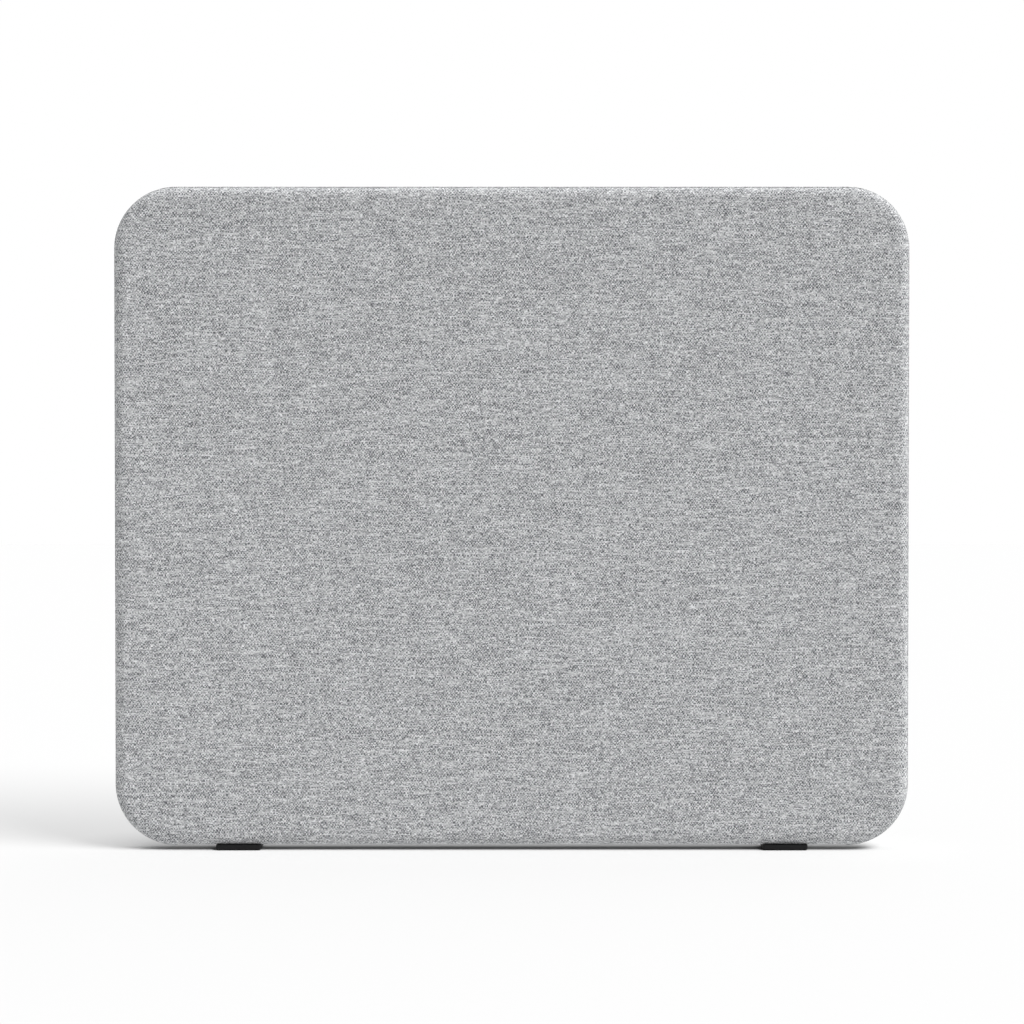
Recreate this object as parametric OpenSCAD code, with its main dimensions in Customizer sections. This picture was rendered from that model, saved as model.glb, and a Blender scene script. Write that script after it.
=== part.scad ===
// Acoustic divider screen: a fabric-covered panel that stands on two low feet.
// X runs along the width, Y through the thickness with the front at -Y, Z up from the floor.
// All sizes are in millimetres.

/* [Screen] */
// Width over the piping
screen_w = 1200; // [1000:10:1800]
// Height from the floor to the top of the piping
screen_h = 1000; // [700:10:1600]
// Thickness over the two fabric faces
screen_t = 40; // [38:1:60]
// Radius of the panel's corners, seen from the front
corner_r = 90; // [75:1:130]
// Radius of the rolled edge between a face and the edge band
edge_r = 10; // [8:0.5:11]

/* [Cover] */
// Thickness of the cover fabric
fabric_t = 1.2; // [0.8:0.1:1.6]
// Diameter of the cord inside the piping
piping_cord_d = 2.2; // [1.8:0.1:3]
// Thickness of the fabric wrapped round the cord
piping_wrap_t = 0.9; // [0.7:0.1:1.2]
// Thickness of the piping's sewn flange
flange_t = 1; // [0.6:0.1:1.4]

/* [Core] */
// Thickness of the felt under each fabric face
felt_t = 5.5; // [4:0.5:7]
// Thickness of the wadding round the frame
wadding_t = 4; // [3.5:0.5:8]
// Width of the rails, stiles and corner blocks, seen from the front
rail_w = 45; // [42:1:60]
// Width of the stud in the middle of the frame
stud_w = 45; // [42:1:60]
// Thickness of the board in the middle of each bay
board_t = 3; // [2:0.5:4]
// Depth of the groove that holds the board
groove_depth = 6; // [4:0.5:7]
// Diameter of the frame's dowels
dowel_d = 8; // [6:0.5:9]
// Length of the frame's dowels
dowel_len = 40; // [30:1:44]

/* [Feet] */
// Distance from the side of the screen to the middle of a foot
foot_inset = 188; // [160:1:300]
// Length of a foot along the screen
foot_w = 67; // [64:1:90]
// Height of a foot with its pad
foot_h = 8; // [7.5:0.5:30]
// How far a foot stands back from each fabric face
foot_setback = 1; // [0:0.5:3]
// Thickness of the rubber pad
pad_t = 2; // [1.5:0.5:2.5]
// Diameter of the foot screws
screw_d = 6; // [5:0.5:6.5]
// Length of the foot screws under the head
screw_len = 28; // [24:1:32]
// Distance between the two screws of a foot
screw_spacing = 26; // [24:1:30]

/* [Zip] */
// Pitch of the zip's teeth
tooth_pitch = 3.6; // [3:0.1:6]
// Width of the closed row of teeth
chain_w = 6; // [5:0.2:6.4]
// Thickness of the teeth
tooth_t = 2.2; // [1.8:0.1:2.4]
// Length of the zip's slider
slider_len = 16; // [14:0.5:17]

/* [Hidden] */
$fn = 96;

// How far a cut runs past the surface that it opens
overrun = 1;
// Gap between the cover and the soft layers that it is drawn over
cover_gap = 0.3;
// Gap round a piece that is pushed into its place
fit_gap = 0.1;
// Gap round a soft filling in its bay
batt_gap = 0.3;
// Gap at the far end of a hole or a groove
end_gap = 0.5;

// The piping lies on the edge band, on a base of its own wrap
piping_base_t = 0.2;
piping_d = piping_cord_d + 2 * piping_wrap_t;
piping_out = piping_base_t + piping_cord_d / 2;
piping_proud = piping_out + piping_d / 2;

// The panel, which is the body inside the piping
panel_w = screen_w - 2 * piping_proud;
panel_h = screen_h - foot_h - piping_proud;
panel_mid_z = foot_h + panel_h / 2;
band_half = screen_t / 2 - edge_r;

// The layers under the cover
felt_inset = fabric_t + cover_gap;
felt_top = screen_t / 2 - felt_inset;
frame_t = 2 * (felt_top - felt_t);
frame_inset = felt_inset + wadding_t;

// The frame and its two bays
frame_w = panel_w - 2 * frame_inset;
frame_h = panel_h - 2 * frame_inset;
frame_r = corner_r - frame_inset;
bay_w = frame_w - 2 * rail_w;
bay_h = frame_h - 2 * rail_w;
bay_r = frame_r - rail_w;
rail_len = frame_w - 2 * frame_r;
stile_len = frame_h - 2 * frame_r;

// The dowels stand in pairs, each a share of the member's width from its middle line
dowel_place_share = 0.24;
dowel_chamfer = 0.8;

// The piping's flange is sewn between the covers and ends in the wadding
flange_depth = 2.5;
flange_end_inset = felt_inset + flange_depth;

// The feet
foot_x = screen_w / 2 - foot_inset;
foot_d = screen_t - 2 * foot_setback;
foot_corner_r = 3;
foot_edge = 0.8;
pad_recess = 1;
pad_margin = 3.5;
foot_body_z = pad_t - pad_recess;
boss_wall = 3.7;
head_d = 10;
head_h = 4;
head_sink = 4.6;
hex_key = 4;
hex_depth = 2.4;
screw_gap = 0.3;
insert_wall = 2;
insert_len = 15;
insert_flange_t = 1;
insert_flange_w = 1.5;
pilot_past_screw = 3;
boss_w = screw_d + 2 * screw_gap + 2 * boss_wall;
boss_len = screw_spacing + boss_w;
seat_z = foot_h + frame_inset;
head_z = pad_t + head_sink;

// The zip, from the middle of the screen to the last tooth
tape_t = 0.8;
tape_past_slot = 4;
run_gap = 0.3;
slot_gap = 0.5;
stop_len = 3;
plate_t = 1.2;
slider_wall = 1.2;
slider_hold = 7;
tooth_overlap = 1;
tooth_play = 0.1;
tooth_tip_gap = 0.2;
bead_slot = 1.2;
foot_to_zip = 4.5;
slider_play = 1;
post_half = 0.9;
slider_shoulder_share = 0.3;
slider_neck_share = 0.56;
post_tip_share = 0.58;
post_heel_share = 0.86;
slot_half_len = foot_x - foot_w / 2 - foot_to_zip;
chain_half_raw = slot_half_len - 2 * run_gap - stop_len - (slider_len - slider_hold);
tooth_count = floor(2 * chain_half_raw / tooth_pitch);
chain_half = tooth_count * tooth_pitch / 2;
slider_tail_x = chain_half - slider_hold;
slider_nose_x = slider_tail_x + slider_len;
row_w = chain_w / 2 + tooth_overlap;
tail_half = chain_w / 2 + run_gap + slider_wall;
nose_half = post_half + row_w + run_gap + slider_wall;
slot_half_w = nose_half + slot_gap;
tape_half_len = slot_half_len + tape_past_slot;
zip_z = foot_h + fabric_t + tape_t / 2;

fabric_colour = "#AAABAE";
felt_colour = "#8E9092";
wadding_colour = "#E8E8E4";
pine_colour = "#D8B27C";
beech_colour = "#C99C66";
board_colour = "#7A5A3C";
batt_colour = "#6F7376";
tape_colour = "#8A8C90";
teeth_colour = "#77797D";
slider_colour = "#5C5E62";
foot_colour = "#232427";
rubber_colour = "#111113";
steel_colour = "#9DA0A4";
brass_colour = "#C2A14A";

// Plan shapes lie in the panel's plane: X along the width, Y up from the panel's middle
module rounded_plan(w, h, r) {
    square([w, h - 2 * r], center = true);
    square([w - 2 * r, h], center = true);
    for (side = [-1, 1], level = [-1, 1])
        translate([side * (w / 2 - r), level * (h / 2 - r)]) circle(r = r);
}

// Stands a plan upright, with its height towards the front
module stand() {
    translate([0, 0, panel_mid_z]) rotate([90, 0, 0]) children();
}

// Carries a section round the panel's edge: its X points out of the panel, its Y to the front.
// Sides and corners count anticlockwise from the right-hand side, so side 3 is the bottom.
module round_the_edge(sides, corners) {
    for (turn = sides) {
        across = turn % 2 == 0 ? panel_w : panel_h;
        along = turn % 2 == 0 ? panel_h : panel_w;
        rotate([0, 0, 90 * turn]) translate([across / 2, along / 2 - corner_r, 0])
            rotate([90, 0, 0]) linear_extrude(height = along - 2 * corner_r) children();
    }
    for (turn = corners) {
        across = turn % 2 == 0 ? panel_w : panel_h;
        along = turn % 2 == 0 ? panel_h : panel_w;
        rotate([0, 0, 90 * turn]) translate([across / 2 - corner_r, along / 2 - corner_r, 0])
            rotate_extrude(angle = 90) translate([corner_r, 0]) children();
    }
}

// Front half of the panel's edge in section, drawn in from the outside by an inset
module edge_section(inset) {
    translate([-edge_r, 0]) square([edge_r - inset, band_half]);
    translate([-edge_r, band_half]) intersection() {
        circle(r = edge_r - inset);
        square(edge_r);
    }
}

// Slot with round ends in plan, for the foot's boss and for the holes that it passes
module slot_plan(length, width) {
    square([length - width, width], center = true);
    for (side = [-1, 1]) translate([side * (length - width) / 2, 0]) circle(d = width);
}

module at_feet() {
    for (side = [-1, 1]) translate([side * foot_x, 0, 0]) children();
}

// Upright space round both bosses, through the cover and the wadding
module boss_holes() {
    at_feet() translate([0, 0, foot_h - overrun])
        linear_extrude(height = frame_inset + 2 * overrun)
            slot_plan(boss_len + 2 * cover_gap, boss_w + 2 * cover_gap);
}

// The cover's edge band in section, from the front face to its seam
module cover_section(seam_half) {
    difference() {
        edge_section(0);
        edge_section(fabric_t);
        translate([-edge_r - overrun, -overrun]) square([edge_r + 2 * overrun, overrun + seam_half]);
    }
}

module cover_half() {
    difference() {
        stand() {
            round_the_edge([0, 1, 2], [0, 1, 2, 3]) cover_section(flange_t / 2);
            round_the_edge([3], []) cover_section(0);
            translate([0, 0, screen_t / 2 - fabric_t]) linear_extrude(height = fabric_t)
                rounded_plan(panel_w - 2 * edge_r, panel_h - 2 * edge_r, corner_r - edge_r);
        }
        translate([-slot_half_len, -slot_half_w, foot_h - overrun])
            cube([2 * slot_half_len, 2 * slot_half_w, fabric_t + 2 * overrun]);
        boss_holes();
    }
}

module front_cover() {
    color(fabric_colour) cover_half();
}

module rear_cover() {
    color(fabric_colour) mirror([0, 1, 0]) cover_half();
}

// The wrap is round outside and pressed flat where it lies on the edge band
module piping_section() {
    difference() {
        intersection() {
            translate([piping_out, 0]) circle(d = piping_d);
            translate([0, -piping_d]) square([piping_d, 2 * piping_d]);
        }
        translate([piping_out, 0]) circle(d = piping_cord_d);
    }
    translate([-flange_end_inset, -flange_t / 2]) square([flange_end_inset, flange_t]);
}

module edge_piping() {
    color(fabric_colour) stand() round_the_edge([0, 1, 2], [0, 1, 2, 3]) piping_section();
}

module piping_cord() {
    color(wadding_colour) stand() round_the_edge([0, 1, 2], [0, 1, 2, 3])
        translate([piping_out, 0]) circle(d = piping_cord_d);
}

module felt() {
    stand() {
        round_the_edge([0, 1, 2, 3], [0, 1, 2, 3]) intersection() {
            edge_section(felt_inset);
            translate([-edge_r, frame_t / 2]) square([edge_r, felt_t]);
        }
        translate([0, 0, frame_t / 2]) linear_extrude(height = felt_t)
            rounded_plan(panel_w - 2 * edge_r, panel_h - 2 * edge_r, corner_r - edge_r);
    }
}

module front_felt() {
    color(felt_colour) felt();
}

module rear_felt() {
    color(felt_colour) mirror([0, 1, 0]) felt();
}

module wadding_section() {
    for (face = [0, 1]) mirror([0, face]) intersection() {
        edge_section(felt_inset);
        translate([-frame_inset, 0]) square([wadding_t, frame_t / 2]);
    }
}

module edge_wadding() {
    color(wadding_colour) difference() {
        stand() {
            round_the_edge([0, 1, 2], [0, 1, 2, 3]) difference() {
                wadding_section();
                translate([-flange_end_inset - end_gap, -flange_t / 2])
                    square([flange_end_inset + end_gap, flange_t]);
            }
            round_the_edge([3], []) wadding_section();
        }
        translate([-tape_half_len - end_gap, -band_half - run_gap, foot_h - overrun])
            cube([2 * (tape_half_len + end_gap), 2 * (band_half + run_gap), frame_inset + 2 * overrun]);
        boss_holes();
    }
}

// Plan of the right-hand bay between the frame's members, grown by a margin on all sides
module bay_plan(grow) {
    intersection() {
        rounded_plan(bay_w + 2 * grow, bay_h + 2 * grow, bay_r + grow);
        translate([stud_w / 2 - grow, -bay_h]) square([bay_w, 2 * bay_h]);
    }
}

// Space that a layer of one bay takes up, from one depth to another
module bay_layer(grow, low, high) {
    stand() translate([0, 0, low]) linear_extrude(height = high - low) bay_plan(grow);
}

module board_grooves() {
    for (side = [0, 1]) mirror([side, 0, 0])
        bay_layer(groove_depth, -board_t / 2 - fit_gap, board_t / 2 + fit_gap);
}

// One dowel or dowel hole along X, centred on the joint
module dowel_shape(length, diameter, chamfer) {
    rotate([0, 90, 0]) rotate_extrude() polygon([
        [0, -length / 2], [diameter / 2 - chamfer, -length / 2], [diameter / 2, -length / 2 + chamfer],
        [diameter / 2, length / 2 - chamfer], [diameter / 2 - chamfer, length / 2], [0, length / 2]
    ]);
}

// All the frame's dowels: rails to corners, stiles to corners, and the stud to both rails
module dowel_set(length, diameter, chamfer) {
    stand() for (side = [-1, 1], level = [-1, 1], place = [-1, 1]) {
        step = place * dowel_place_share * rail_w;
        translate([side * rail_len / 2, level * (frame_h - rail_w) / 2 + step, 0])
            dowel_shape(length, diameter, chamfer);
        translate([side * (frame_w - rail_w) / 2 + step, level * stile_len / 2, 0])
            rotate([0, 0, 90]) dowel_shape(length, diameter, chamfer);
    }
    stand() for (level = [-1, 1], place = [-1, 1])
        translate([place * dowel_place_share * stud_w, level * bay_h / 2, 0])
            rotate([0, 0, 90]) dowel_shape(length, diameter, chamfer);
}

module dowel_holes() {
    dowel_set(dowel_len + 2 * end_gap, dowel_d + 2 * fit_gap, 0);
}

module frame_dowels() {
    color(beech_colour) dowel_set(dowel_len, dowel_d, dowel_chamfer);
}

// One straight member, placed by the middle of its face
module member(x, y, w, h) {
    difference() {
        stand() translate([x, y, 0]) cube([w, h, frame_t], center = true);
        board_grooves();
        dowel_holes();
    }
}

module top_rail() {
    color(pine_colour) member(0, (frame_h - rail_w) / 2, rail_len, rail_w);
}

module bottom_rail() {
    color(pine_colour) difference() {
        member(0, -(frame_h - rail_w) / 2, rail_len, rail_w);
        at_screws() {
            translate([0, 0, seat_z - overrun])
                cylinder(h = insert_len + fit_gap + overrun, d = insert_d() + 2 * fit_gap);
            translate([0, 0, seat_z - overrun])
                cylinder(h = insert_flange_t + overrun, d = insert_d() + 2 * insert_flange_w + 2 * fit_gap);
            translate([0, 0, seat_z])
                cylinder(h = head_z + screw_len + pilot_past_screw - seat_z, d = screw_d + 2 * screw_gap);
        }
    }
}

module left_stile() {
    color(pine_colour) member(-(frame_w - rail_w) / 2, 0, rail_w, stile_len);
}

module right_stile() {
    color(pine_colour) member((frame_w - rail_w) / 2, 0, rail_w, stile_len);
}

module centre_stud() {
    color(pine_colour) member(0, 0, stud_w, bay_h);
}

// Quarter ring that joins a rail to a stile, for the corner on the given side and level
module corner_block(side, level) {
    color(pine_colour) difference() {
        stand() translate([side * rail_len / 2, level * stile_len / 2, -frame_t / 2])
            mirror([side < 0 ? 1 : 0, 0, 0]) mirror([0, level < 0 ? 1 : 0, 0])
                rotate_extrude(angle = 90) translate([bay_r, 0]) square([rail_w, frame_t]);
        board_grooves();
        dowel_holes();
    }
}

module corner_block_top_left() {
    corner_block(-1, 1);
}

module corner_block_top_right() {
    corner_block(1, 1);
}

module corner_block_bottom_left() {
    corner_block(-1, -1);
}

module corner_block_bottom_right() {
    corner_block(1, -1);
}

module centre_board_right() {
    color(board_colour) bay_layer(groove_depth - end_gap, -board_t / 2, board_t / 2);
}

module centre_board_left() {
    color(board_colour) mirror([1, 0, 0])
        bay_layer(groove_depth - end_gap, -board_t / 2, board_t / 2);
}

module batt_front_right() {
    color(batt_colour) bay_layer(-batt_gap, board_t / 2, frame_t / 2);
}

module batt_front_left() {
    color(batt_colour) mirror([1, 0, 0]) bay_layer(-batt_gap, board_t / 2, frame_t / 2);
}

module batt_rear_right() {
    color(batt_colour) bay_layer(-batt_gap, -frame_t / 2, -board_t / 2);
}

module batt_rear_left() {
    color(batt_colour) mirror([1, 0, 0]) bay_layer(-batt_gap, -frame_t / 2, -board_t / 2);
}

// Rear tape of the zip, sewn to the inside of the edge band
module tape_half() {
    inner_edge = chain_w / 2 - bead_slot;
    translate([-tape_half_len, inner_edge, zip_z - tape_t / 2])
        cube([2 * tape_half_len, band_half - inner_edge, tape_t]);
}

module zip_tape_front() {
    color(tape_colour) mirror([0, 1, 0]) tape_half();
}

module zip_tape_rear() {
    color(tape_colour) tape_half();
}

// Comb of teeth on one bead, with the first tooth moved along by a share of the pitch
module tooth_row(start_share) {
    bead_edge = tooth_overlap + tooth_tip_gap;
    tooth_half = tooth_pitch / 4 - tooth_play;
    first_x = -chain_half + start_share * tooth_pitch;
    comb = [for (i = [0 : tooth_count - 1], corner = [0 : 3])
        let (x = first_x + i * tooth_pitch)
        corner == 0 ? [x - tooth_half, bead_edge]
        : corner == 1 ? [x - tooth_half, -tooth_overlap]
        : corner == 2 ? [x + tooth_half, -tooth_overlap]
        : [x + tooth_half, bead_edge]
    ];
    difference() {
        translate([0, 0, zip_z - tooth_t / 2]) linear_extrude(height = tooth_t)
            polygon(concat([[chain_half, bead_edge], [chain_half, chain_w / 2],
                [-chain_half, chain_w / 2], [-chain_half, bead_edge]], comb));
        tape_half();
    }
}

module zip_teeth_front() {
    color(teeth_colour) mirror([0, 1, 0]) tooth_row(0.25);
}

module zip_teeth_rear() {
    color(teeth_colour) tooth_row(0.75);
}

module zip_end_stops() {
    closed_stop_x = slider_nose_x + run_gap;
    open_stop_x = -chain_half - run_gap - stop_len;
    color(teeth_colour) difference() {
        translate([0, 0, zip_z - tooth_t / 2]) linear_extrude(height = tooth_t) {
            for (side = [0, 1]) mirror([0, side])
                translate([closed_stop_x, post_half]) square([stop_len, chain_w / 2 - post_half]);
            translate([open_stop_x, -chain_w / 2]) square([stop_len, chain_w]);
        }
        tape_half();
        mirror([0, 1, 0]) tape_half();
    }
}

// Half the slider's plan, from its tail at zero to its nose, narrowed by a wall
module slider_outline(wall) {
    shoulder = slider_shoulder_share * slider_len;
    neck = slider_neck_share * slider_len;
    polygon([
        [0, 0], [0, tail_half - wall], [shoulder, tail_half - wall],
        [neck, nose_half - wall], [slider_len, nose_half - wall], [slider_len, 0]
    ]);
}

module slider_plan(wall) {
    for (side = [0, 1]) mirror([0, side]) slider_outline(wall);
}

module zip_slider() {
    channel = tooth_t / 2 + run_gap;
    slit = tape_t / 2 + run_gap;
    color(slider_colour) translate([slider_tail_x, 0, zip_z]) {
        for (face = [0, 1]) mirror([0, 0, face]) {
            translate([0, 0, channel]) linear_extrude(height = plate_t) slider_plan(0);
            translate([0, 0, slit]) linear_extrude(height = channel - slit) difference() {
                slider_plan(0);
                slider_plan(slider_wall);
            }
        }
        translate([0, 0, -channel]) linear_extrude(height = 2 * channel) polygon([
            [post_tip_share * slider_len, 0], [post_heel_share * slider_len, post_half],
            [slider_len, post_half], [slider_len, -post_half],
            [post_heel_share * slider_len, -post_half]
        ]);
    }
}

function insert_d() = screw_d + 2 * insert_wall;

module at_screws() {
    at_feet() for (side = [-1, 1]) translate([side * screw_spacing / 2, 0, 0]) children();
}

module foot_block() {
    pad_plan_w = foot_w - 2 * pad_margin;
    pad_plan_d = foot_d - 2 * pad_margin;
    difference() {
        union() {
            translate([0, 0, foot_body_z + foot_edge]) linear_extrude(height = foot_h - foot_body_z - foot_edge)
                rounded_plan(foot_w, foot_d, foot_corner_r);
            translate([0, 0, foot_body_z]) linear_extrude(height = foot_edge)
                rounded_plan(foot_w - 2 * foot_edge, foot_d - 2 * foot_edge, foot_corner_r - foot_edge);
            translate([0, 0, foot_h]) linear_extrude(height = frame_inset) slot_plan(boss_len, boss_w);
        }
        translate([0, 0, foot_body_z - overrun]) linear_extrude(height = pad_recess + overrun)
            rounded_plan(pad_plan_w + 2 * fit_gap, pad_plan_d + 2 * fit_gap, foot_corner_r);
        for (side = [-1, 1]) translate([side * screw_spacing / 2, 0, 0]) {
            cylinder(h = head_z, d = head_d + 2 * screw_gap);
            cylinder(h = seat_z + overrun, d = screw_d + 2 * screw_gap);
        }
    }
}

module foot_left() {
    color(foot_colour) translate([-foot_x, 0, 0]) foot_block();
}

module foot_right() {
    color(foot_colour) translate([foot_x, 0, 0]) foot_block();
}

module foot_pad() {
    linear_extrude(height = pad_t)
        rounded_plan(foot_w - 2 * pad_margin, foot_d - 2 * pad_margin, foot_corner_r - fit_gap);
}

module foot_pad_left() {
    color(rubber_colour) translate([-foot_x, 0, 0]) foot_pad();
}

module foot_pad_right() {
    color(rubber_colour) translate([foot_x, 0, 0]) foot_pad();
}

module foot_screws() {
    color(steel_colour) at_screws() translate([0, 0, head_z]) difference() {
        union() {
            translate([0, 0, -head_h]) cylinder(h = head_h, d = head_d);
            cylinder(h = screw_len, d = screw_d);
        }
        translate([0, 0, -head_h - overrun])
            cylinder(h = hex_depth + overrun, d = hex_key / cos(30), $fn = 6);
    }
}

module foot_inserts() {
    color(brass_colour) at_screws() translate([0, 0, seat_z]) difference() {
        union() {
            cylinder(h = insert_len, d = insert_d());
            cylinder(h = insert_flange_t, d = insert_d() + 2 * insert_flange_w);
        }
        translate([0, 0, -overrun]) cylinder(h = insert_len + 2 * overrun, d = screw_d + 2 * fit_gap);
    }
}

front_cover();
rear_cover();
edge_piping();
piping_cord();
front_felt();
rear_felt();
edge_wadding();
top_rail();
bottom_rail();
left_stile();
right_stile();
centre_stud();
corner_block_top_left();
corner_block_top_right();
corner_block_bottom_left();
corner_block_bottom_right();
frame_dowels();
centre_board_left();
centre_board_right();
batt_front_left();
batt_front_right();
batt_rear_left();
batt_rear_right();
zip_tape_front();
zip_tape_rear();
zip_teeth_front();
zip_teeth_rear();
zip_end_stops();
zip_slider();
foot_left();
foot_right();
foot_pad_left();
foot_pad_right();
foot_screws();
foot_inserts();
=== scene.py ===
import math
from functools import partial

import bmesh
import bpy
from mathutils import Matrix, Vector, noise


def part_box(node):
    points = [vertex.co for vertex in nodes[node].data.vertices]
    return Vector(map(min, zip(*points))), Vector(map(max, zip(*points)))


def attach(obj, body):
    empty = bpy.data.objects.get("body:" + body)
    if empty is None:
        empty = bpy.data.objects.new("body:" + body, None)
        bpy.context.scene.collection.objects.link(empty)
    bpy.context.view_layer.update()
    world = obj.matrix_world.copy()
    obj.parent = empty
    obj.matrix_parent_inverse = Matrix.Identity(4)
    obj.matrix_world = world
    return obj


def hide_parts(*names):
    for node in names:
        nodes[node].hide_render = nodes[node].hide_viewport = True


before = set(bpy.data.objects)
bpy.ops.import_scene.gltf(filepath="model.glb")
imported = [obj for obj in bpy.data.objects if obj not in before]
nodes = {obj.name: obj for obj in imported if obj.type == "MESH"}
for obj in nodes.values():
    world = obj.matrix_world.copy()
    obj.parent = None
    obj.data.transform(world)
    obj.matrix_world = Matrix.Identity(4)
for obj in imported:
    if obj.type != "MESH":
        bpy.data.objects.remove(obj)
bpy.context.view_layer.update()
scene = bpy.context.scene
mm = 0.001
rightAngle = math.pi / 2
panelLow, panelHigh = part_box("front_cover")     # every edge piece follows this box's outline
panelMiddle = (panelLow.z + panelHigh.z) / 2
panelWidth = panelHigh.x - panelLow.x
panelHeight = panelHigh.z - panelLow.z
print("frame loaded:", len(nodes), "nodes")

# Camera
cameraSetup = dict(
    distance=2.654,          # from the lens to the screen's front face
    height=0.5425,
    sideStep=0.0003,
    pitchDown=0.712,         # degrees
    lens=62.18,
    sensor=36.0,
)


def makeCamera():
    place = (cameraSetup["sideStep"], panelLow.y - cameraSetup["distance"], cameraSetup["height"])
    tilt = math.radians(90 - cameraSetup["pitchDown"])
    bpy.ops.object.camera_add(location=place, rotation=(tilt, 0, 0))
    camera = bpy.context.object
    camera.name = "studioCamera"
    camera.data.lens = cameraSetup["lens"]
    camera.data.sensor_width = cameraSetup["sensor"]
    camera.data.clip_start = 0.01
    camera.data.clip_end = 100
    scene.camera = camera


makeCamera()
print("camera placed")


# Small helpers for modelling as by hand
def useOnly(piece):
    bpy.ops.object.select_all(action="DESELECT")
    piece.select_set(True)
    bpy.context.view_layer.objects.active = piece


def applyPlace(piece):
    useOnly(piece)
    bpy.ops.object.transform_apply(location=True, rotation=True, scale=True)


def turnRound(piece):
    piece.rotation_euler = (0, 0, math.pi)
    applyPlace(piece)


def addShape(kind, name, place, scale=(1, 1, 1), **settings):
    bpy.ops.object.select_all(action="DESELECT")
    getattr(bpy.ops.mesh, "primitive_" + kind + "_add")(location=place, **settings)
    piece = bpy.context.object
    piece.name = name
    piece.scale = scale
    applyPlace(piece)
    return piece


def addPlane(name, place, width, height, tilt=rightAngle):
    return addShape("plane", name, place, (width, height, 1), size=1, rotation=(tilt, 0, 0))


def selectAll(kind=None, action="SELECT"):
    if kind:
        bpy.ops.mesh.select_mode(type=kind)
    bpy.ops.mesh.select_all(action=action)


def selectNone(kind=None):
    selectAll(kind, "DESELECT")


def startEdit(piece, kind="FACE"):
    useOnly(piece)
    bpy.ops.object.mode_set(mode="EDIT")
    selectAll(kind)


def endEdit():
    bpy.ops.object.mode_set(mode="OBJECT")


def pick(piece, kind, test):
    # Selects only the faces, or only the edges, that pass the test
    selectNone(kind)
    work = bmesh.from_edit_mesh(piece.data)
    for part in {"FACE": work.faces, "EDGE": work.edges}[kind]:
        part.select = test(part)
    bmesh.update_edit_mesh(piece.data)


def removePicked(piece, kind, test):
    pick(piece, kind, test)
    bpy.ops.mesh.delete(type=kind)


def edgeRun(edge):
    return (edge.verts[1].co - edge.verts[0].co).normalized()


def extrudeBy(x, y, z):
    bpy.ops.mesh.extrude_region_move(TRANSFORM_OT_translate={"value": (x, y, z)})


def roundCorners(radius, segments):
    bpy.ops.mesh.bevel(offset=radius, offset_type="OFFSET", segments=segments, affect="VERTICES")


def fillOpenEnds():
    selectNone("EDGE")
    bpy.ops.mesh.select_non_manifold()
    bpy.ops.mesh.edge_face_add()


def faceOutwards():
    selectAll()
    bpy.ops.mesh.normals_make_consistent(inside=False)


def cutAll(point, normal):
    selectAll()
    bpy.ops.mesh.bisect(plane_co=point, plane_no=normal)


def cutGrid(step, low=panelLow, high=panelHigh):
    for axis, normal in ((0, (1, 0, 0)), (2, (0, 0, 1))):
        count = int((high[axis] - low[axis]) / step)
        start = (low[axis] + high[axis] - count * step) / 2
        for number in range(count + 1):
            point = [0, 0, 0]
            point[axis] = start + number * step
            cutAll(point, normal)


def finishWith(piece, kind, **settings):
    useOnly(piece)
    bpy.ops.object.modifier_add(type=kind)
    modifier = piece.modifiers[-1]
    for key, value in settings.items():
        setattr(modifier, key, value)
    bpy.ops.object.modifier_apply(modifier=modifier.name)


def smoothBy(piece, degrees):
    useOnly(piece)
    bpy.ops.object.shade_smooth_by_angle(angle=math.radians(degrees))


def setMaterial(piece, material):
    piece.data.materials.clear()
    piece.data.materials.append(material)


def waveAt(point):
    # A slow unevenness between 0 and 1
    return 0.5 + 0.5 * noise.noise(point)


def boxOf(node):
    low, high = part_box(node)
    return low, high, (low + high) / 2


def finishPiece(piece, degrees, material, node=None):
    smoothBy(piece, degrees)
    setMaterial(piece, material)
    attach(piece, "screen")
    if node:
        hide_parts(node)


# Small helpers for materials
def newGroup(name, look):
    # One input for each value of the look, apart from those that the material sets itself
    group = bpy.data.node_groups.new(name, "ShaderNodeTree")
    group.interface.new_socket("vector", in_out="INPUT", socket_type="NodeSocketVector")
    for label, value in look.items():
        if label not in ("relief", "shader"):
            kind = "NodeSocketColor" if isinstance(value, tuple) else "NodeSocketFloat"
            socket = group.interface.new_socket(label, in_out="INPUT", socket_type=kind)
            socket.default_value = value
    for label, kind in (("colour", "NodeSocketColor"), ("roughness", "NodeSocketFloat"),
                        ("height", "NodeSocketFloat")):
        group.interface.new_socket(label, in_out="OUTPUT", socket_type=kind)
    enter = group.nodes.new("NodeGroupInput")
    leave = group.nodes.new("NodeGroupOutput")
    enter.location = (-1200, 0)
    leave.location = (900, 0)
    return enter.outputs, leave


def plug(value, socket):
    if isinstance(value, bpy.types.NodeSocket):
        socket.id_data.links.new(value, socket)
    elif value is not None:
        socket.default_value = value


def plugAll(node, values):
    for label, value in values.items():
        plug(value, node.inputs[label])


def newNode(kind, *values):
    # Stands in the tree of the first value that comes from another node
    source = next(value for value in values if isinstance(value, bpy.types.NodeSocket))
    node = source.id_data.nodes.new("ShaderNode" + kind)
    for value, socket in zip(values, node.inputs):
        plug(value, socket)
    return node


def calc(operation, *values):
    node = newNode("Math", *values)
    node.operation = operation
    return node.outputs[0]


plus, minus, times, over = (partial(calc, name) for name in ("ADD", "SUBTRACT", "MULTIPLY", "DIVIDE"))


def addShare(tone, value, share):
    return calc("MULTIPLY_ADD", value, share, tone)


def addSwing(tone, value, share):
    # Only the value's swing about its middle is added
    return addShare(tone, minus(value, 0.5), share)


def split(vector):
    return newNode("SeparateXYZ", vector).outputs


def join(x, y, z=0.0):
    return newNode("CombineXYZ", x, y, z).outputs[0]


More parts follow.
